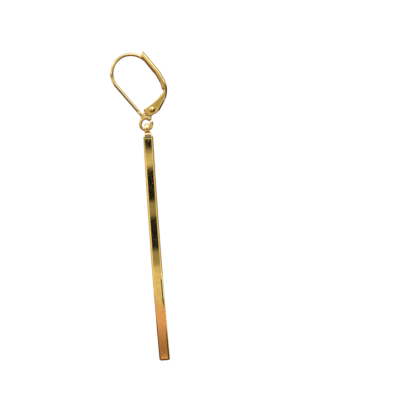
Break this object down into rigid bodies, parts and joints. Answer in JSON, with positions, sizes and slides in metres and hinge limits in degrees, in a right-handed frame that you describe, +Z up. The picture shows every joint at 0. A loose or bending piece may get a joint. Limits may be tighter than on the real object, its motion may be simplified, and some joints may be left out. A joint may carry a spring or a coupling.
{
  "type": "bar earring",
  "caption": "Long square bar drop with rounded edges, hung by an eye from an open ring on a round-topped hook that a hinged lever closes.",
  "frame": {"origin": "inner top of the ear wire's hoop, where the earring hangs in the ear lobe", "axes": "+Z up along the hanging bar, +X from the back leg of the ear wire towards the lever, +Y across the hook, along the rivet; the bar and the hook are stored hanging as they do when worn"},
  "size_m": [0.0116, 0.0024, 0.0645],
  "materials": {
    "polished_gold": "polished, gold-coloured plating"
  },
  "bodies": {
    "hook": {"ear_hook": "polished_gold", "rivet": "polished_gold"},
    "lever": {"lever": "polished_gold"},
    "drop": {"bar": "polished_gold"}
  },
  "joints": [
    {"name": "lever_open", "type": "hinge", "parent": "hook", "child": "lever", "pos_m": [0.00374, 0, -0.01139], "axis": [0, 1, 0], "range_deg": [0, 60]},
    {"name": "drop_swing", "type": "hinge", "parent": "hook", "child": "drop", "pos_m": [0.00253, 0, -0.01554], "axis": [0.9903, -0.1392, 0], "range_deg": [-90, 90]}
  ]
}
